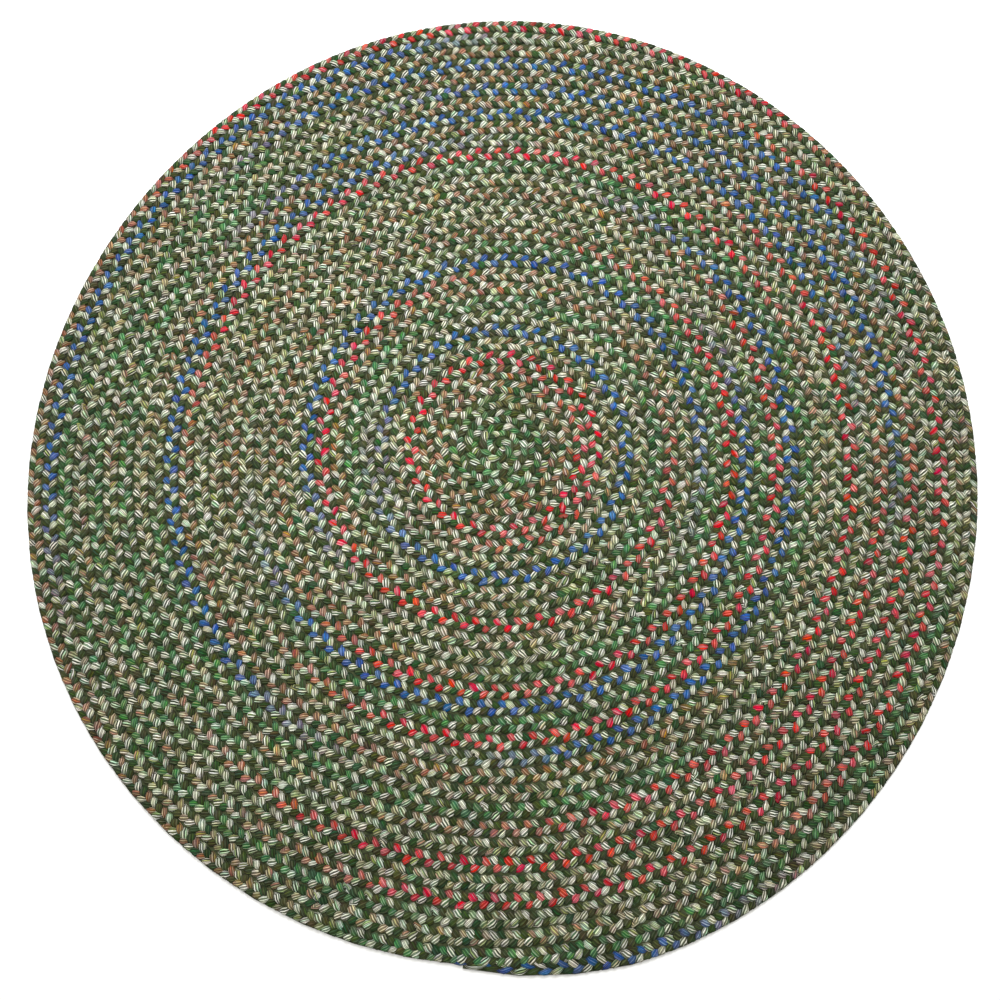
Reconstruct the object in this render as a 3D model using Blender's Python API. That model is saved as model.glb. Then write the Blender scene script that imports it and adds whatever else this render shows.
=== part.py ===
"""A round braided rug: one flat braid, coiled outwards from its middle and laced to itself.

Metres, +Z up. The origin is the middle of the coil, on the flat underside. The rug is one
solid: a thin disc whose top carries each row of the coil as a raised rib, with a rounded
rim and the tapered end of the braid let into it.

Places along the coil are given in turns from the middle. Turn 0 is the middle itself, and
row by row the coil runs clockwise, seen from above.
"""

import math

import bmesh
import bpy

OBJECT_NAME = "braided_coil"
COLLECTION_NAME = "braided_rug"

# The braid and its coil
ROW_WIDTH = 0.029  # from one row of braid to the next
CREST_HEIGHT = 0.011  # top of a row above the floor
VALLEY_HEIGHT = 0.0075  # seam between two rows
CREST_SHARE = 0.6  # share of a row's width that its top takes up
FIRST_TURN = 0.2  # where the braid's tucked-in start comes up
COIL_TURNS = 32.12
START_DEGREES = 52.0  # angle of turn 0, clockwise from +X
TAIL_TURNS = 0.055  # length of the tapered end
TAIL_BLUNTNESS = 0.6  # power of its taper: 1 would be straight, less is blunter

# The rim of the last row
RIM_HEIGHT = 0.0055  # height of its widest line
RIM_UNDERCUT = 0.003  # how far the foot of the rim stands in from it

# The coil isn't quite round. Each row here is one wave in its radius:
# crests round the rim, height at the rim, and where a crest is, clockwise from +X.
RIM_WAVES = (
    {"crests": 1, "height": 0.0051, "degrees": 83.0},
    {"crests": 2, "height": 0.0119, "degrees": -74.0},
    {"crests": 3, "height": 0.0036, "degrees": 40.0},
    {"crests": 4, "height": 0.0020, "degrees": -9.0},
)

# Mesh
STEPS_PER_TURN = 50
GRID_HALF_SIDE = 0.5  # the flat grid that is wrapped round the coil is 1 by 1
WELD_DISTANCE = 0.00001
SHARP_DEGREES = 50.0

YARN_COLOUR = (0.135, 0.150, 0.088, 1.0)
YARN_ROUGHNESS = 0.95


def clear_scene():
    for item in list(bpy.data.objects):
        bpy.data.objects.remove(item, do_unlink=True)


def seam_radius(turn):
    """Radius of the seam on the outer side of the row at this turn."""
    even_radius = ROW_WIDTH * max(turn, 0.0)
    rim_share = even_radius / (ROW_WIDTH * COIL_TURNS)
    angle = coil_angle(turn)
    waviness = sum(
        wave["height"] * math.cos(wave["crests"] * (angle - math.radians(wave["degrees"])))
        for wave in RIM_WAVES
    )
    return even_radius + waviness * rim_share**2


def coil_angle(turn):
    """Angle of this turn in radians, clockwise from +X."""
    return math.radians(START_DEGREES) + 2.0 * math.pi * turn


def row_fullness(turn):
    """Width of the row as a share of a full one: less in the middle and in the tail."""
    start = min(turn, 1.0)
    tail = min(max((COIL_TURNS - turn) / TAIL_TURNS, 0.0), 1.0)
    return min(start, tail**TAIL_BLUNTNESS)


def row_profile():
    """(place across the row, share of the crest's height), from the inner seam outwards."""
    shoulder = (1.0 - CREST_SHARE) / 2.0
    return ((0.0, 0.0), (shoulder, 1.0), (1.0 - shoulder, 1.0), (1.0, 0.0))


def has_free_edge(turn):
    """True on the last turn, which has no row outside it. Its two ends are seam points."""
    half_step = 0.5 / STEPS_PER_TURN
    return COIL_TURNS - 1.0 + half_step < turn < COIL_TURNS - half_step


def coil_point(turn, across, rise):
    """A point of the top: across runs from the row's inner seam, 0, to its outer one, 1."""
    inner = seam_radius(turn - 1.0)
    width = seam_radius(turn) - inner
    fullness = row_fullness(turn)
    if turn > 1.0:
        width *= fullness
    radius = inner + width * across
    base = RIM_HEIGHT if across == 1.0 and has_free_edge(turn) else VALLEY_HEIGHT
    height = base + (CREST_HEIGHT - VALLEY_HEIGHT) * rise * fullness
    angle = coil_angle(turn)
    return (radius * math.cos(angle), -radius * math.sin(angle), height)


def lay_rows(mesh_builder):
    """Wraps a flat grid round the coil and welds each row to the next."""
    profile = row_profile()
    steps = round((COIL_TURNS - FIRST_TURN) * STEPS_PER_TURN)
    bands = len(profile) - 1
    bmesh.ops.create_grid(
        mesh_builder, x_segments=steps, y_segments=bands, size=GRID_HALF_SIDE
    )
    for vertex in mesh_builder.verts:
        step = round((vertex.co.x + GRID_HALF_SIDE) * steps)
        across, rise = profile[round((vertex.co.y + GRID_HALF_SIDE) * bands)]
        vertex.co = coil_point(FIRST_TURN + step / STEPS_PER_TURN, across, rise)
    bmesh.ops.remove_doubles(mesh_builder, verts=mesh_builder.verts, dist=WELD_DISTANCE)


def open_edges(mesh_builder):
    return [edge for edge in mesh_builder.edges if edge.is_boundary]


def close_middle(mesh_builder):
    """Closes the small hole that the braid's start leaves in the middle."""
    hole = [
        edge
        for edge in open_edges(mesh_builder)
        if edge.verts[0].co.xy.length < ROW_WIDTH
    ]
    bmesh.ops.contextual_create(mesh_builder, geom=hole)


def close_underside(mesh_builder):
    """Turns the rim down to the floor and closes the flat underside."""
    rim = open_edges(mesh_builder)
    skirt = bmesh.ops.extrude_edge_only(mesh_builder, edges=rim)["geom"]
    for item in skirt:
        if isinstance(item, bmesh.types.BMVert):
            radius = item.co.xy.length
            inwards = (radius - RIM_UNDERCUT) / radius
            item.co = (item.co.x * inwards, item.co.y * inwards, 0.0)
    bmesh.ops.contextual_create(mesh_builder, geom=open_edges(mesh_builder))
    bmesh.ops.recalc_face_normals(mesh_builder, faces=mesh_builder.faces)


def yarn_material():
    material = bpy.data.materials.new("yarn")
    material.use_nodes = True
    shader = material.node_tree.nodes["Principled BSDF"]
    shader.inputs["Base Color"].default_value = YARN_COLOUR
    shader.inputs["Roughness"].default_value = YARN_ROUGHNESS
    shader.inputs["Metallic"].default_value = 0.0
    return material


def make_braided_coil():
    mesh_builder = bmesh.new()
    lay_rows(mesh_builder)
    close_middle(mesh_builder)
    close_underside(mesh_builder)
    mesh = bpy.data.meshes.new(OBJECT_NAME)
    mesh_builder.to_mesh(mesh)
    mesh_builder.free()
    mesh.shade_smooth()
    mesh.set_sharp_from_angle(angle=math.radians(SHARP_DEGREES))
    mesh.materials.append(yarn_material())
    return bpy.data.objects.new(OBJECT_NAME, mesh)


def main():
    clear_scene()
    collection = bpy.data.collections.new(COLLECTION_NAME)
    bpy.context.scene.collection.children.link(collection)
    collection.objects.link(make_braided_coil())


main()
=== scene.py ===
"""Looks of the braided rug: three yarn strands plaited flat and coiled over a thin core.

Metres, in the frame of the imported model: +Z up, the origin in the middle of the coil, on
the underside. Places along the coil are in turns from the middle, and row by row the coil
runs clockwise, seen from above.
"""

import math

import bmesh
import bpy
import mathutils
import numpy as np
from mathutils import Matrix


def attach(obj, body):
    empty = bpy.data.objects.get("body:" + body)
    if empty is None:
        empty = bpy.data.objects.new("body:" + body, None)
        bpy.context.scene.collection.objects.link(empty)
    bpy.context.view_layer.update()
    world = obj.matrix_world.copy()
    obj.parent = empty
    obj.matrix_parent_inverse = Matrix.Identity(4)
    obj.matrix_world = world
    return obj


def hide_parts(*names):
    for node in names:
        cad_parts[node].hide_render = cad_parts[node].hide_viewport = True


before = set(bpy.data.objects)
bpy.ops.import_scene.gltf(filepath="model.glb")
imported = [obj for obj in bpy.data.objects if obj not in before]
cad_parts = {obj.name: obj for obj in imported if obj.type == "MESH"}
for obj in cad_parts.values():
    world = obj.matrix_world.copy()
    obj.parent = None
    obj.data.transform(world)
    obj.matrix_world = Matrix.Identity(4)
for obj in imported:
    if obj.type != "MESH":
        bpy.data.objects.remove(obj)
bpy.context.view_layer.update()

BODY = "root"
SOLID = "braided_coil"

# The coil, as in the solid
ROW_WIDTH = 0.029
COIL_TURNS = 32.12
START_DEGREES = 52.0  # clockwise from +X, where the coil starts
TAIL_TURNS = 0.055  # over which the last row tapers
TAIL_BLUNTNESS = 0.6  # of the taper: 1 would be a straight wedge, less is blunter
RIM_WAVES = (  # by how much the rim wanders in and out
    {"crests": 1, "height": 0.0051, "degrees": 83.0},
    {"crests": 2, "height": 0.0119, "degrees": -74.0},
    {"crests": 3, "height": 0.0036, "degrees": 40.0},
    {"crests": 4, "height": 0.0020, "degrees": -9.0},
)
TABLE_STEPS_PER_TURN = 720  # of the table that turns lengths along the coil into turns

# The plait. Sideways sizes are shares of the row's width, and phases are in degrees.
REPEAT = 0.040  # length of one full crossing of a strand, there and back
TAIL_STRETCH = 1.6  # how much longer the repeat grows at the very end
TAIL_WIDTH = 0.50  # width of the plait at its very ends
TAIL_INSET = 0.12  # how far its very end lies in from the rim
TAIL_END_TURNS = 0.004  # length over which the strands end
SWING = 0.415  # how far a strand's middle swings to each side
CORNER = 0.995  # how sharply it turns there: 0 would be a sine wave, 1 a zigzag
LAG = 25.0  # degrees of phase by which it comes late to the side, so that lobes lie flatter
RIM_REACH = 0.01  # how far past the rim the lobes of the last row stand out
RIM_FOOT = 0.0056  # height in metres up to which they may stand out that far
RIM_SLOPE = 0.9  # how far they lean in above it, for each metre of height
MIDDLE_HEIGHT = 0.0060
RISE = 0.0026  # how far a strand climbs over, and dips under, the middle height
FIRST_STRAND_TURN = 0.35
# The rings of one lobe: phase, climb and width. The lobe that shows is the strand on its
# way from the row's middle, at 0, out to its side. The next lobe is half a repeat on.
LOBE_RINGS = (
    (-16.0, -0.78, 0.50),
    (17.0, 0.40, 0.76),
    (56.0, 1.00, 1.00),
    (95.0, 0.84, 0.92),
    (122.0, -0.82, 0.66),
)
RING_DEGREES = (0.0, 45.0, 90.0, 135.0, 180.0, 270.0)  # the points round a strand
STRAND_SQUARENESS = 0.9  # of its section: 1 would be an ellipse, less is squarer
STRAND_DEPTH = 1.7  # how much deeper a strand is below its middle line than above it
TAIL_HEIGHT = 0.4  # height of a strand where the plait has no width left, as a share
TAIL_TIP = 0.02  # size of the very tip of a strand, as a share
AIM_DEGREES = 2.0  # phase before and after a ring between which its direction is taken
STRANDS = (
    {"name": "dark", "phase": 0.0, "half_width": 0.256, "half_height": 0.0027},
    {"name": "accent", "phase": 120.0, "half_width": 0.222, "half_height": 0.0027},
    {"name": "light", "phase": 240.0, "half_width": 0.240, "half_height": 0.0029},
)
SPLIT_TURN = COIL_TURNS * math.sqrt(0.5)  # halves the length of each strand

# Unevenness of hand and machine
SEED = 7
SEED_STEP = 31  # between the seeds of one kind of wobble and the next
WOBBLES = {  # size of the wobble, and the length of coil over which it changes
    "phase": (20.0, 0.040),
    "side": (0.040, 0.020),
    "height": (0.00055, 0.018),
    "width": (0.20, 0.018),
}

# The core that fills the inside of the plait, coloured with painted shade where it shows
# between the strands
CORE_SEAM = 0.0064  # its height at the seam between two rows
CORE_MIDDLE = 0.0054  # its height half-way between two seams
CORE_THICKNESS = 0.0030
CORE_SHOULDER = 0.25  # share of the row over which it goes from one height to the other
CORE_MARGIN = 0.02  # of a row, by which the core stays in from the rim
CORE_STEPS_PER_TURN = 60
FIRST_CORE_TURN = 0.2
WELD_DISTANCE = 0.00001
# Its colours are painted shade: the dark of the yarn deep in the gaps between the strands
CORE_SHADE_STOPS = ((0.0, (0.14, 0.18, 0.08)), (1.0, (0.25, 0.27, 0.15)))
CORE_GRAIN_PER_METRE = 400.0
CORE_ROUGHNESS = 0.95

# The accent strand is dyed in one cycle of six colours. A cycle gets longer along the
# coil, in row widths: the middle of red number n lies FIRST_RED + n * RED_STEP + n * n *
# RED_GROWTH rows along the strand's row.
FIRST_RED = 112.0
RED_STEP = 318.5
RED_GROWTH = 0.75

# Each strand's map for baking: rows one above the other, and the bare share of each
BAKE_ROWS = 36
BAKE_MARGIN = 0.04

# Yarn
PLY_PAIRS = 8  # round a strand, of which about four show: a plain ply and a shaded one
PLAIN_SHARE = 0.62  # of the width of a pair that its plain ply takes up
PLY_TWIST = 1.6  # turns of the plies in a metre of strand
PLY_RELIEF = 0.0011  # how far the plies stand out of their grooves
FIBRE_RELIEF = 0.25  # of the ply's
GROOVE_POWER = 0.8  # how the shade deepens towards the groove: less keeps it narrow
MOTTLE_PER_METRE = 140.0
MOTTLE_STEP = 3.7  # in the noise, from one pair of plies to the next
FIBRES_PER_METRE = 320.0
FIBRES_PER_PAIR = 12.0
FIBRE_CONTRAST = 0.60
DRIFT_PER_METRE = 55.0  # of the slow drift of tint over neighbouring lobes
DRIFT_SHARE = 0.45
LOBE_DRAW = (5.0, 2.0)  # sets the random numbers of a lobe apart from those of its plies
# Painted shade darkens each lobe towards its ends, where it dives under, and a painted
# highlight brightens its top.
LOBE_PAINTED_SHADING = (0.67, 1.15)  # value at the ends of a lobe, where it dives, and on its top
SAME_HUE = 0.5  # the value that leaves a hue as it is
YARN_ROUGHNESS = (0.78, 0.98)
YARN_SHEEN = 0.03
SHEEN_ROUGHNESS = 0.5
YARN_SPECULAR = 0.08
# The looks of each strand. The first half of the stops is for plain plies, the second for
# shaded ones, and lobe_stops are for lobes of one calm colour, mixed in by calm. Pairs run
# from the lowest to the highest random value. The groove is the value of the painted shade
# between two plies.
LOOKS = {
    "light": {
        "stops": (
            (0.00, (0.87, 0.87, 0.80)),
            (0.22, (0.83, 0.84, 0.75)),
            (0.34, (0.72, 0.82, 0.69)),
            (0.40, (0.77, 0.76, 0.64)),
            (0.44, (0.63, 0.68, 0.48)),
            (0.50, (0.40, 0.42, 0.30)),
            (0.62, (0.47, 0.50, 0.31)),
            (0.68, (0.33, 0.46, 0.32)),
            (0.76, (0.18, 0.22, 0.12)),
            (0.92, (0.82, 0.82, 0.73)),
        ),
        "lobe_stops": (
            (0.00, (0.80, 0.82, 0.72)),
            (0.42, (0.62, 0.68, 0.53)),
            (0.64, (0.71, 0.71, 0.59)),
            (0.78, (0.52, 0.67, 0.54)),
            (0.90, (0.60, 0.60, 0.38)),
        ),
        "calm": (-0.45, 0.48),
        "hue": 0.012,
        "saturation": (0.75, 1.2),
        "ply_value": (0.88, 1.14),
        "lobe_value": (0.88, 1.15),
        "mottle": (0.58, 1.42),
        "groove": 0.16,
        "shaded": 0.97,
    },
    "dark": {
        "stops": (
            (0.00, (0.28, 0.33, 0.18)),
            (0.20, (0.22, 0.32, 0.18)),
            (0.32, (0.36, 0.38, 0.24)),
            (0.43, (0.18, 0.35, 0.22)),
            (0.50, (0.20, 0.21, 0.06)),
            (0.68, (0.26, 0.22, 0.08)),
            (0.82, (0.16, 0.24, 0.08)),
            (0.90, (0.15, 0.13, 0.04)),
        ),
        "lobe_stops": (
            (0.00, (0.25, 0.29, 0.15)),
            (0.40, (0.19, 0.28, 0.13)),
            (0.66, (0.27, 0.27, 0.15)),
            (0.88, (0.17, 0.32, 0.18)),
        ),
        "calm": (0.35, 0.85),
        "hue": 0.030,
        "saturation": (0.7, 1.15),
        "ply_value": (0.85, 1.15),
        "lobe_value": (0.75, 1.20),
        "mottle": (0.64, 1.36),
        "groove": 0.42,
        "shaded": 0.90,
    },
    "accent": {
        "stops": (
            (0.00, (0.77, 0.73, 0.59)),
            (0.14, (0.86, 0.85, 0.72)),
            (0.28, (0.66, 0.67, 0.49)),
            (0.38, (0.62, 0.62, 0.32)),
            (0.42, (0.72, 0.54, 0.44)),
            (0.50, (0.47, 0.45, 0.31)),
            (0.62, (0.37, 0.39, 0.22)),
            (0.74, (0.52, 0.39, 0.30)),
            (0.86, (0.21, 0.21, 0.11)),
        ),
        "hue": 0.011,
        "saturation": (0.8, 1.2),
        "ply_value": (0.82, 1.20),
        "lobe_value": (0.74, 1.20),
        "mottle": (0.60, 1.42),
        "groove": 0.24,
        "shaded": 0.85,
    },
}
# Colours of the dye, each with the share of undyed yarn that shows through it
DYES = (
    ((0.86, 0.31, 0.33), 0.06),  # red
    ((0.64, 0.57, 0.46), 0.68),  # beige
    ((0.22, 0.41, 0.67), 0.09),  # blue
    ((0.62, 0.66, 0.54), 0.75),  # grey cream
    ((0.17, 0.50, 0.29), 0.24),  # green
    ((0.61, 0.39, 0.29), 0.40),  # rust
)
DYE_BLEED = 0.020  # share of the cycle over which one colour starts to run into the next

# Studio
FLOOR_SIDE = 12.0
FLOOR_COLOUR = (0.92, 0.92, 0.91, 1.0)
FLOOR_ROUGHNESS = 0.9
WORLD_COLOUR = (1.0, 0.98, 0.92, 1.0)
WORLD_STRENGTH = 0.47
LAMPS = (
    {
        "name": "key_lamp",
        "size": 1.2,
        "power": 107.0,
        "colour": (0.94, 0.96, 1.0),
        "location": (0.3, 2.1, 2.5),
    },
    {
        "name": "top_lamp",
        "size": 0.9,
        "power": 23.0,
        "colour": (1.0, 1.0, 1.0),
        "location": (-0.1, 0.2, 1.5),
    },
)

# Camera, from the picture's perspective
CAMERA_SENSOR = 36.0
CAMERA_LENS = 23.4
CAMERA_TILT = 8.2
CAMERA_DISTANCE = 1.2325
CAMERA_AIM = (0.0, -0.104, 0.009)


# ---------------------------------------------------------------- the coil

def coil_angle(turn):
    return math.radians(START_DEGREES) + 2.0 * math.pi * turn


def seam_radius(turn):
    even_radius = ROW_WIDTH * np.maximum(turn, 0.0)
    rim_share = even_radius / (ROW_WIDTH * COIL_TURNS)
    angle = coil_angle(turn)
    waviness = sum(
        wave["height"] * np.cos(wave["crests"] * (angle - math.radians(wave["degrees"])))
        for wave in RIM_WAVES
    )
    return even_radius + waviness * rim_share**2


def row_fullness(turn):
    start = np.clip(turn, 0.0, 1.0)
    tail = np.clip((COIL_TURNS - turn) / TAIL_TURNS, 0.0, 1.0)
    return np.minimum(start, tail**TAIL_BLUNTNESS)


def row_radius(turn, across):
    """Radius of a place in the row: across runs from its inner seam, 0, to its outer, 1."""
    inner = seam_radius(turn - 1.0)
    width = seam_radius(turn) - inner
    fullness = np.where(turn > 1.0, row_fullness(turn), 1.0)
    return inner + width * fullness * across


def coil_place(turn, across, height):
    radius = row_radius(turn, across)
    angle = coil_angle(turn)
    return np.stack([radius * np.cos(angle), -radius * np.sin(angle), height], axis=-1)


class CoilLength:
    """Turns, lengths along the coil and phases of the plait, each from the other."""

    def __init__(self):
        steps = int(COIL_TURNS * TABLE_STEPS_PER_TURN)
        self.turn = np.linspace(FIRST_STRAND_TURN, COIL_TURNS, steps)
        radius = row_radius(self.turn, 0.5)
        angle_steps = 2.0 * math.pi * np.diff(self.turn)
        pieces = 0.5 * (radius[1:] + radius[:-1]) * angle_steps
        self.length = np.concatenate([[0.0], np.cumsum(pieces)])
        tail = 1.0 - np.where(self.turn > 1.0, row_fullness(self.turn), 1.0)
        repeat = REPEAT * (1.0 + TAIL_STRETCH * tail)
        rate = 360.0 / (0.5 * (repeat[1:] + repeat[:-1]))
        self.phase = np.concatenate([[0.0], np.cumsum(rate * pieces)])

    def turn_at_phase(self, phase):
        return np.interp(phase, self.phase, self.turn)

    def length_at_phase(self, phase):
        return np.interp(phase, self.phase, self.length)

    def end_phase(self):
        return self.phase[-1]

    def phase_at_turn(self, turn):
        return np.interp(turn, self.turn, self.phase)


class Wobble:
    """A smooth random wander along the coil, the same on each run."""

    def __init__(self, kind, seed, whole_length):
        self.size, self.step = WOBBLES[kind]
        count = int(whole_length / self.step) + 3
        self.knots = np.random.default_rng(seed).uniform(-1.0, 1.0, count)

    def at(self, length):
        place = length / self.step
        index = np.clip(place.astype(int), 0, len(self.knots) - 2)
        share = place - index
        share = share * share * (3.0 - 2.0 * share)
        return self.size * (
            self.knots[index] * (1.0 - share) + self.knots[index + 1] * share
        )


# ---------------------------------------------------------------- meshes

def mesh_object(name, vertices, quads, caps=()):
    """A mesh from an array of points, an array of quads and a few larger faces."""
    mesh = bpy.data.meshes.new(name)
    sizes = np.full(len(quads), 4)
    corners = quads.reshape(-1)
    if len(caps):
        sizes = np.concatenate([sizes, [len(cap) for cap in caps]])
        corners = np.concatenate([corners] + [np.asarray(cap) for cap in caps])
    mesh.vertices.add(len(vertices))
    mesh.vertices.foreach_set("co", vertices.astype(np.float32).reshape(-1))
    mesh.loops.add(len(corners))
    mesh.loops.foreach_set("vertex_index", corners.astype(np.int32))
    mesh.polygons.add(len(sizes))
    starts = np.concatenate([[0], np.cumsum(sizes)[:-1]])
    mesh.polygons.foreach_set("loop_start", starts.astype(np.int32))
    mesh.update(calc_edges=True)
    mesh.validate()
    mesh.shade_smooth()
    piece = bpy.data.objects.new(name, mesh)
    bpy.context.scene.collection.objects.link(piece)
    return piece


def grid_quads(rings, sides, closed):
    """Corners of the quads of a grid of points, ring after ring, closed round or open."""
    ring, side = np.meshgrid(
        np.arange(rings - 1), np.arange(sides if closed else sides - 1), indexing="ij"
    )
    after = (side + 1) % sides
    below, above = ring * sides, (ring + 1) * sides
    corners = [below + side, above + side, above + after, below + after]
    return np.stack(corners, axis=-1).reshape(-1, 4)


def ring_points():
    """Sideways and upward place of each point round a strand, and its share of the way."""
    angle = np.radians(np.array(RING_DEGREES))
    cosine, sine = np.cos(angle), np.sin(angle)
    sideways = np.sign(cosine) * np.abs(cosine) ** STRAND_SQUARENESS
    upward = np.sign(sine) * np.abs(sine) ** STRAND_SQUARENESS
    upward = np.where(upward < 0.0, upward * STRAND_DEPTH, upward)
    closed = np.append(angle, angle[0] + 2.0 * math.pi)
    return sideways, upward, (closed - angle[0]) / (2.0 * math.pi)


def lobe_shape(own, column):
    """Climb, column 1, or width, column 2, of a strand at phases of its own."""
    rings = np.array(LOBE_RINGS)
    return np.interp(own, rings[:, 0], rings[:, column], period=180.0)


def strand_phases(strand, low, high):
    """Phases along the coil of this strand's rings, and the lobe that each is in."""
    first = math.floor((low + strand["phase"]) / 180.0) - 1
    last = math.ceil((high + strand["phase"]) / 180.0) + 1
    lobes = np.arange(first, last)
    own = (lobes[:, None] * 180.0 + np.array(LOBE_RINGS)[None, :, 0]).reshape(-1)
    lobe = np.repeat(lobes, len(LOBE_RINGS))
    along = own - strand["phase"]
    inside = (along > low) & (along < high)
    return along[inside], own[inside], lobe[inside]


def strand_room(turn):
    """Fullness of the row, room for the plait in it, and size of the strands' tips."""
    full = row_fullness(turn)
    room = TAIL_WIDTH + (1.0 - TAIL_WIDTH) * full
    end = np.clip((COIL_TURNS - turn) / TAIL_END_TURNS, TAIL_TIP, 1.0)
    return full, room, np.sqrt(end * (2.0 - end))


def strand_path(along, own, coil, wobbles):
    """Middle line of a strand."""
    length = coil.length_at_phase(along)
    turn = coil.turn_at_phase(along)
    full, room, _ = strand_room(turn)
    lift = RISE * lobe_shape(own, 1) * room + wobbles["height"].at(length)
    own = np.radians(own + wobbles["phase"].at(length))
    own = own - math.radians(LAG) * np.sin(own) ** 2
    swing = np.arcsin(CORNER * np.sin(own)) / math.asin(CORNER)
    side = SWING * swing + wobbles["side"].at(length)
    inset = room * (0.5 - side) + TAIL_INSET * (1.0 - full)
    radius = row_radius(turn, 1.0) - ROW_WIDTH * inset
    height = MIDDLE_HEIGHT + lift
    angle = coil_angle(turn)
    return np.stack([radius * np.cos(angle), -radius * np.sin(angle), height], axis=-1)


def pressed(vertices, turn):
    """Rests the strands on the floor and draws the last row in to the rim."""
    limit = row_radius(turn, 1.0) + RIM_REACH * ROW_WIDTH
    limit = np.where(turn > COIL_TURNS - 1.0, limit, np.inf)
    lean = RIM_SLOPE * np.maximum(vertices[:, :, 2] - RIM_FOOT, 0.0)
    radius = np.linalg.norm(vertices[:, :, :2], axis=2)
    share = np.minimum((limit[:, None] - lean) / radius, 1.0)
    height = np.maximum(vertices[:, :, 2], 0.0)
    return np.stack([vertices[:, :, 0] * share, vertices[:, :, 1] * share, height], axis=-1)


def unit(vectors):
    return vectors / np.linalg.norm(vectors, axis=-1, keepdims=True)


def strand_rings(strand, along, own, coil):
    """Middles of a strand's rings, and the points round each."""
    wobbles = {
        kind: Wobble(kind, SEED + SEED_STEP * index + int(strand["phase"]), coil.length[-1])
        for index, kind in enumerate(WOBBLES)
    }
    middle = strand_path(along, own, coil, wobbles)
    ahead = strand_path(along + AIM_DEGREES, own + AIM_DEGREES, coil, wobbles)
    behind = strand_path(along - AIM_DEGREES, own - AIM_DEGREES, coil, wobbles)
    forward = unit(ahead - behind)
    sideways = unit(np.cross(forward, (0.0, 0.0, 1.0)))
    upward = np.cross(sideways, forward)
    turn = coil.turn_at_phase(along)
    _, room, end = strand_room(turn)
    wander = 1.0 + wobbles["width"].at(coil.length_at_phase(along))
    width = strand["half_width"] * ROW_WIDTH * lobe_shape(own, 2) * room * end * wander
    height = strand["half_height"] * (TAIL_HEIGHT + (1.0 - TAIL_HEIGHT) * room) * end
    across, above, _ = ring_points()
    points = (
        middle[:, None, :]
        + sideways[:, None, :] * (width[:, None] * across[None, :])[:, :, None]
        + upward[:, None, :] * (height[:, None] * above[None, :])[:, :, None]
    )
    return middle, pressed(points, turn)


def make_strand(strand, coil, low, high, name):
    """One strand between two phases of the coil, as a closed tube with its maps."""
    along, own, lobe = strand_phases(strand, low, high)
    middle, points = strand_rings(strand, along, own, coil)
    rings, sides = points.shape[:2]
    last = (rings - 1) * sides
    caps = [list(range(sides)), list(range(last + sides - 1, last - 1, -1))]
    piece = mesh_object(name, points.reshape(-1, 3), grid_quads(rings, sides, True), caps)
    steps = np.linalg.norm(np.diff(middle, axis=0), axis=1)
    run = np.concatenate([[0.0], np.cumsum(steps)])
    _, _, around = ring_points()
    add_strand_map(piece, run, around, sides)
    add_bake_map(piece, rings, around, sides)
    add_face_value(piece, "lobe", np.repeat(lobe[:-1], sides))
    cycles = dye_cycles(coil_rows(coil.turn_at_phase(along)))
    add_point_value(piece, "dye", np.repeat(cycles, sides))
    # top is the climb of each ring, which drives the painted shade at a lobe's ends and the
    # painted highlight on its top
    add_point_value(piece, "top", np.repeat(np.maximum(lobe_shape(own, 1), 0.0), sides))
    return piece


def coil_rows(turn):
    """Length of an even coil up to this turn, in row widths."""
    return math.pi * (turn - 0.5) ** 2


def dye_cycles(rows):
    """Cycles of dye since the middle of the first red."""
    spread = RED_STEP**2 + 4.0 * RED_GROWTH * (rows - FIRST_RED)
    return (np.sqrt(np.maximum(spread, 0.0)) - RED_STEP) / (2.0 * RED_GROWTH)


def quad_corners(along_low, along_high, around_low, around_high):
    """Map places of the four corners of each quad, in the order of its points."""
    return np.stack(
        [
            np.stack([along_low, around_low], axis=-1),
            np.stack([along_high, around_low], axis=-1),
            np.stack([along_high, around_high], axis=-1),
            np.stack([along_low, around_high], axis=-1),
        ],
        axis=-2,
    ).reshape(-1, 2)


def set_map(piece, name, places):
    layer = piece.data.uv_layers.new(name=name)
    filled = np.zeros((len(piece.data.loops), 2), np.float32)
    filled[: len(places)] = places
    layer.uv.foreach_set("vector", filled.reshape(-1))


def add_strand_map(piece, run, around, sides):
    """Metres along the strand, and share of the way round it."""
    low = np.repeat(run[:-1], sides)
    high = np.repeat(run[1:], sides)
    count = len(run) - 1
    set_map(piece, "strand",
            quad_corners(low, high, np.tile(around[:-1], count), np.tile(around[1:], count)))


def add_bake_map(piece, rings, around, sides):
    """The strand laid out in rows, one above the other, in a unit square."""
    segments = rings - 1
    per_row = math.ceil(segments / BAKE_ROWS)
    segment = np.arange(segments)
    row = segment // per_row
    column = segment % per_row
    low = np.repeat(column / per_row, sides)
    high = np.repeat((column + 1) / per_row, sides)
    squeeze = BAKE_MARGIN + (1.0 - 2.0 * BAKE_MARGIN) * around
    under = (row[:, None] + squeeze[None, :-1]).reshape(-1) / BAKE_ROWS
    over = (row[:, None] + squeeze[None, 1:]).reshape(-1) / BAKE_ROWS
    set_map(piece, "OFBake", quad_corners(low, high, under, over))


def add_face_value(piece, name, values):
    """A value for each quad of a strand. Its two caps take those of the first and last."""
    attribute = piece.data.attributes.new(name, "FLOAT", "FACE")
    filled = np.concatenate([values, [values[0], values[-1]]]).astype(np.float32)
    attribute.data.foreach_set("value", filled)


def add_point_value(piece, name, values):
    attribute = piece.data.attributes.new(name, "FLOAT", "POINT")
    attribute.data.foreach_set("value", values.astype(np.float32))


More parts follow.
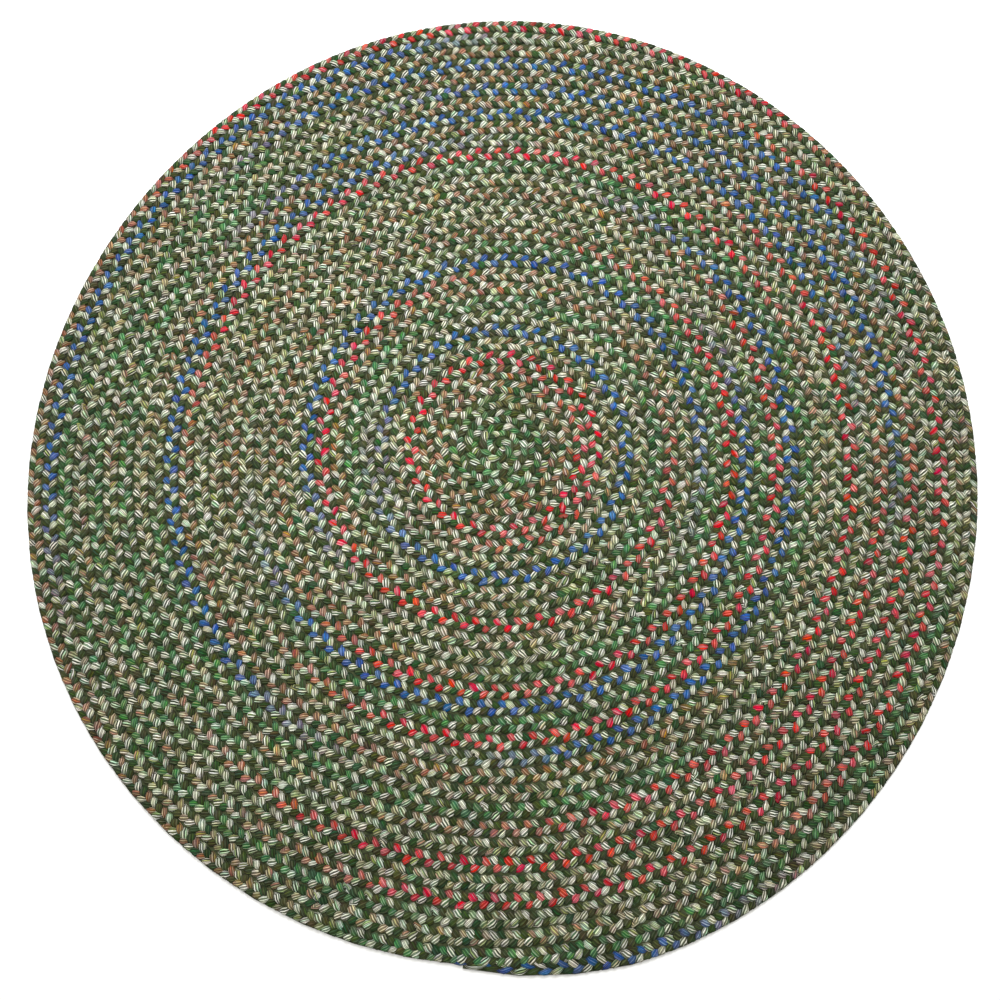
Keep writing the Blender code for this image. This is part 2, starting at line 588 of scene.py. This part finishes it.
def make_core():
    """The inside of the plait, as one thin sheet that runs under all the strands."""
    steps = round((COIL_TURNS - FIRST_CORE_TURN) * CORE_STEPS_PER_TURN)
    turn = FIRST_CORE_TURN + np.arange(steps + 1) / CORE_STEPS_PER_TURN
    on_rim = (turn > COIL_TURNS - 1.0) & (turn < COIL_TURNS)
    reach = np.where(on_rim, 1.0 - CORE_MARGIN, 1.0)
    profile = ((0.0, 0.0), (CORE_SHOULDER, 1.0), (1.0 - CORE_SHOULDER, 1.0), (1.0, 0.0))
    columns = [
        coil_place(
            turn,
            across * reach,
            CORE_SEAM + (CORE_MIDDLE - CORE_SEAM) * rise * row_fullness(turn),
        )
        for across, rise in profile
    ]
    vertices = np.stack(columns, axis=1).reshape(-1, 3)
    piece = mesh_object("braid_core", vertices, grid_quads(steps + 1, len(profile), False))
    weld_and_thicken(piece)
    return piece


def weld_and_thicken(piece):
    """Joins each row of a sheet to the next, and gives it its thickness downwards."""
    builder = bmesh.new()
    builder.from_mesh(piece.data)
    bmesh.ops.remove_doubles(builder, verts=builder.verts, dist=WELD_DISTANCE)
    bmesh.ops.recalc_face_normals(builder, faces=builder.faces)
    if sum(face.normal.z for face in builder.faces) < 0.0:
        bmesh.ops.reverse_faces(builder, faces=builder.faces)
    builder.to_mesh(piece.data)
    builder.free()
    thicken = piece.modifiers.new("thicken", "SOLIDIFY")
    thicken.thickness = CORE_THICKNESS
    thicken.offset = -1.0
    depsgraph = bpy.context.evaluated_depsgraph_get()
    solid = bpy.data.meshes.new_from_object(piece.evaluated_get(depsgraph))
    piece.modifiers.clear()
    piece.data = solid


# ---------------------------------------------------------------- finish

def linear(colour, alpha=1.0):
    """Linear red, green, blue and the alpha of a colour given as the eye sees it."""
    return tuple(
        value / 12.92 if value <= 0.04045 else ((value + 0.055) / 1.055) ** 2.4
        for value in colour
    ) + (alpha,)


class Finish:
    """A material and short calls that add nodes to it."""

    def __init__(self, name):
        self.material = bpy.data.materials.new(name)
        self.material.use_nodes = True
        self.tree = self.material.node_tree
        self.shader = self.tree.nodes["Principled BSDF"]

    def add(self, kind, **settings):
        node = self.tree.nodes.new(kind)
        for key, value in settings.items():
            setattr(node, key, value)
        return node

    def feed(self, socket, value):
        if isinstance(value, bpy.types.NodeSocket):
            self.tree.links.new(value, socket)
        else:
            socket.default_value = value

    def math(self, operation, *values):
        node = self.add("ShaderNodeMath", operation=operation)
        for socket, value in zip(node.inputs, values):
            self.feed(socket, value)
        return node.outputs["Value"]

    def product(self, first, *others):
        for other in others:
            first = self.math("MULTIPLY", first, other)
        return first

    def vector(self, *values):
        node = self.add("ShaderNodeCombineXYZ")
        for socket, value in zip(node.inputs, values):
            self.feed(socket, value)
        return node.outputs["Vector"]

    def attribute(self, name):
        return self.add("ShaderNodeAttribute", attribute_name=name).outputs["Fac"]

    def random(self, *values):
        """Three random numbers, as red, green and blue, for a set of whole numbers."""
        node = self.add("ShaderNodeTexWhiteNoise", noise_dimensions="3D")
        self.feed(node.inputs["Vector"], self.vector(*values))
        split = self.add("ShaderNodeSeparateColor")
        self.feed(split.inputs["Color"], node.outputs["Color"])
        return [split.outputs[name] for name in ("Red", "Green", "Blue")]

    def place(self, per_metre):
        """Place on the piece, with this many steps to the metre."""
        node = self.add("ShaderNodeVectorMath", operation="SCALE")
        self.feed(node.inputs[0], self.add("ShaderNodeTexCoord").outputs["Object"])
        node.inputs["Scale"].default_value = per_metre
        return node.outputs["Vector"]

    def noise(self, vector, detail=2.0, output="Fac"):
        node = self.add("ShaderNodeTexNoise", noise_dimensions="3D")
        self.feed(node.inputs["Vector"], vector)
        node.inputs["Scale"].default_value = 1.0
        node.inputs["Detail"].default_value = detail
        return node.outputs[output]

    def spread(self, value, low, high):
        """A share from 0 to 1, stretched to run from low to high."""
        node = self.add("ShaderNodeMapRange")
        self.feed(node.inputs["Value"], value)
        node.inputs["To Min"].default_value = low
        node.inputs["To Max"].default_value = high
        return node.outputs["Result"]

    def ramp(self, share, stops, interpolation="CONSTANT"):
        """Colour and alpha at a share of the way along stops of (place, colour, alpha)."""
        node = self.add("ShaderNodeValToRGB")
        node.color_ramp.interpolation = interpolation
        points = node.color_ramp.elements
        while len(points) < len(stops):
            points.new(1.0)
        for point, (place, *colour) in zip(points, stops):
            point.position = place
            point.color = linear(*colour)
        self.feed(node.inputs["Fac"], share)
        return node.outputs["Color"], node.outputs["Alpha"]

    def mix(self, share, first, second, blend="MIX"):
        node = self.add("ShaderNodeMix", data_type="RGBA", blend_type=blend)
        self.feed(node.inputs["Factor"], share)
        self.feed(node.inputs["A"], first)
        self.feed(node.inputs["B"], second)
        return [out for out in node.outputs if out.type == "RGBA"][0]

    def shade(self, colour, hue, saturation, value):
        node = self.add("ShaderNodeHueSaturation")
        self.feed(node.inputs["Hue"], hue)
        self.feed(node.inputs["Saturation"], saturation)
        self.feed(node.inputs["Value"], value)
        self.feed(node.inputs["Color"], colour)
        return node.outputs["Color"]


def ply_lines(finish):
    """The plies of a strand, in pairs of a wide plain one and a narrow shaded one.

    Returns the number of the pair, whether the ply is the shaded one, its rounded height
    across, and the place along and round the strand.
    """
    map_node = finish.add("ShaderNodeUVMap", uv_map="strand")
    split = finish.add("ShaderNodeSeparateXYZ")
    finish.feed(split.inputs["Vector"], map_node.outputs["UV"])
    along, around = split.outputs["X"], split.outputs["Y"]
    turned = finish.math("MULTIPLY_ADD", along, PLY_TWIST, around)
    place = finish.math("MULTIPLY", turned, float(PLY_PAIRS))
    number = finish.math("MODULO", finish.math("FLOOR", place), float(PLY_PAIRS))
    share = finish.math("FRACT", place)
    shaded = finish.math("GREATER_THAN", share, PLAIN_SHARE)
    black, white = (0.0, 0.0, 0.0), (1.0, 1.0, 1.0)
    stops = (
        (0.0, black),
        (0.5 * PLAIN_SHARE, white),
        (PLAIN_SHARE, black),
        (0.5 + 0.5 * PLAIN_SHARE, white),
        (1.0, black),
    )
    height, _ = finish.ramp(share, stops, "EASE")
    return number, shaded, height, along, place


def drift(finish, colour):
    """Lets the tint wander slowly from lobe to lobe, whichever strand they are of."""
    tint = finish.noise(finish.place(DRIFT_PER_METRE), detail=1.0, output="Color")
    return finish.mix(DRIFT_SHARE, colour, tint, "SOFT_LIGHT")


def yarn_colour(finish, look, shaded, ply_random, lobe_random):
    """Colours of the plies, quietened in some lobes, or dyed along the accent strand."""
    pick = finish.math("MULTIPLY", finish.math("ADD", ply_random[0], shaded), 0.5)
    colour, _ = finish.ramp(pick, look["stops"])
    if "lobe_stops" in look:
        quiet, _ = finish.ramp(lobe_random[0], look["lobe_stops"])
        calm = finish.spread(lobe_random[1], *look["calm"])
        colour = finish.mix(calm, colour, quiet)
    else:
        cycle = finish.math("FRACT", finish.attribute("dye"))
        dye, undyed = finish.ramp(cycle, dye_stops(), "LINEAR")
        colour = finish.mix(undyed, dye, colour)
    return drift(finish, colour)


def yarn_relief(finish, height, fibre):
    """Lets the plies and their fibres stand out."""
    bump = finish.add("ShaderNodeBump")
    bump.inputs["Strength"].default_value = 1.0
    bump.inputs["Distance"].default_value = PLY_RELIEF
    relief = finish.math("MULTIPLY_ADD", fibre, FIBRE_RELIEF, height)
    finish.feed(bump.inputs["Height"], relief)
    finish.feed(finish.shader.inputs["Normal"], bump.outputs["Normal"])


def yarn(name, look):
    """A yarn strand: plies side by side, each with its own shade in each lobe."""
    finish = Finish(name)
    number, shaded, height, along, place = ply_lines(finish)
    lobe = finish.attribute("lobe")
    ply_random = finish.random(number, lobe, shaded)
    lobe_random = finish.random(lobe, *LOBE_DRAW)
    colour = yarn_colour(finish, look, shaded, ply_random, lobe_random)
    mottle = finish.noise(
        finish.vector(
            finish.math("MULTIPLY", along, MOTTLE_PER_METRE),
            finish.math("MULTIPLY_ADD", number, MOTTLE_STEP, shaded),
            lobe,
        )
    )
    fibre = finish.noise(
        finish.vector(
            finish.math("MULTIPLY", along, FIBRES_PER_METRE),
            finish.math("MULTIPLY", place, FIBRES_PER_PAIR),
            lobe,
        )
    )
    value = finish.product(
        finish.spread(ply_random[2], *look["ply_value"]),
        finish.spread(lobe_random[1], *look["lobe_value"]),
        finish.spread(mottle, *look["mottle"]),
        # painted shade at the ends of each lobe, painted highlight on its top
        finish.spread(finish.attribute("top"), *LOBE_PAINTED_SHADING),
        finish.spread(shaded, 1.0, look["shaded"]),
        # painted shade in the groove between two plies
        finish.spread(finish.math("POWER", height, GROOVE_POWER), look["groove"], 1.0),
        finish.spread(fibre, 1.0 - FIBRE_CONTRAST, 1.0 + FIBRE_CONTRAST),
    )
    hue = finish.spread(lobe_random[2], SAME_HUE - look["hue"], SAME_HUE + look["hue"])
    saturation = finish.spread(ply_random[1], *look["saturation"])
    inputs = finish.shader.inputs
    finish.feed(inputs["Base Color"], finish.shade(colour, hue, saturation, value))
    finish.feed(inputs["Roughness"], finish.spread(fibre, *YARN_ROUGHNESS))
    inputs["Sheen Weight"].default_value = YARN_SHEEN
    inputs["Sheen Roughness"].default_value = SHEEN_ROUGHNESS
    inputs["Specular IOR Level"].default_value = YARN_SPECULAR
    yarn_relief(finish, height, fibre)
    return finish.material


def dye_stops():
    """Ramp stops of the dye cycle: each colour holds, then runs into the next."""
    stops = [(0.0, *DYES[0])]
    hold = 0.5 / len(DYES) - DYE_BLEED
    for index, dye in enumerate(DYES):
        middle = index / len(DYES)
        if index:
            stops.append((middle - hold, *dye))
        stops.append((middle + hold, *dye))
    stops.append((1.0 - hold, *DYES[0]))
    return stops


# The core's finish is painted shade, the dark of the yarn deep between the strands, with a
# random grain
def core_painted_shade():
    finish = Finish("core_painted_shade")
    grain = finish.noise(finish.place(CORE_GRAIN_PER_METRE))
    colour, _ = finish.ramp(grain, CORE_SHADE_STOPS, "LINEAR")
    finish.feed(finish.shader.inputs["Base Color"], colour)
    finish.shader.inputs["Roughness"].default_value = CORE_ROUGHNESS
    return finish.material


# ---------------------------------------------------------------- studio

def add_camera():
    data = bpy.data.cameras.new("camera")
    data.sensor_width = CAMERA_SENSOR
    data.lens = CAMERA_LENS
    data.dof.use_dof = False
    camera = bpy.data.objects.new("camera", data)
    tilt = math.radians(CAMERA_TILT)
    camera.location = (
        CAMERA_AIM[0],
        CAMERA_AIM[1] - CAMERA_DISTANCE * math.sin(tilt),
        CAMERA_AIM[2] + CAMERA_DISTANCE * math.cos(tilt),
    )
    camera.rotation_euler = (tilt, 0.0, 0.0)
    bpy.context.scene.collection.objects.link(camera)
    bpy.context.scene.camera = camera


def add_lamp(name, size, power, colour, location):
    """A round lamp that is aimed at the middle of the rug."""
    data = bpy.data.lights.new(name, "AREA")
    data.shape = "DISK"
    data.size = size
    data.energy = power
    data.color = colour
    lamp = bpy.data.objects.new(name, data)
    lamp.location = location
    aim = -mathutils.Vector(location)
    lamp.rotation_euler = aim.to_track_quat("-Z", "Y").to_euler()
    bpy.context.scene.collection.objects.link(lamp)


def add_studio():
    for lamp in LAMPS:
        add_lamp(**lamp)
    world = bpy.data.worlds.new("studio")
    world.use_nodes = True
    background = world.node_tree.nodes["Background"]
    background.inputs["Color"].default_value = WORLD_COLOUR
    background.inputs["Strength"].default_value = WORLD_STRENGTH
    bpy.context.scene.world = world
    bpy.context.scene.view_settings.view_transform = "Standard"
    bpy.context.scene.view_settings.look = "None"


def add_floor():
    mesh = bpy.data.meshes.new("floor")
    half = FLOOR_SIDE / 2.0
    mesh.from_pydata(
        [(-half, -half, 0.0), (half, -half, 0.0), (half, half, 0.0), (-half, half, 0.0)],
        [],
        [(0, 1, 2, 3)],
    )
    floor = bpy.data.objects.new("floor", mesh)
    bpy.context.scene.collection.objects.link(floor)
    finish = Finish("pale_floor")
    finish.shader.inputs["Base Color"].default_value = FLOOR_COLOUR
    finish.shader.inputs["Roughness"].default_value = FLOOR_ROUGHNESS
    mesh.materials.append(finish.material)


# ---------------------------------------------------------------- the rug


def dress(piece, material):
    piece.data.materials.clear()
    piece.data.materials.append(material)
    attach(piece, BODY)


def make_rug():
    coil = CoilLength()
    split = coil.phase_at_turn(SPLIT_TURN)
    parts = (("inner", 0.0, split), ("outer", split, coil.end_phase()))
    for strand in STRANDS:
        material = yarn(f"{strand['name']}_yarn", LOOKS[strand["name"]])
        for part, low, high in parts:
            piece = make_strand(strand, coil, low, high, f"{strand['name']}_strand_{part}")
            dress(piece, material)
    core = make_core()
    dress(core, core_painted_shade())
    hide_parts(SOLID)


add_camera()
add_studio()
add_floor()
make_rug()
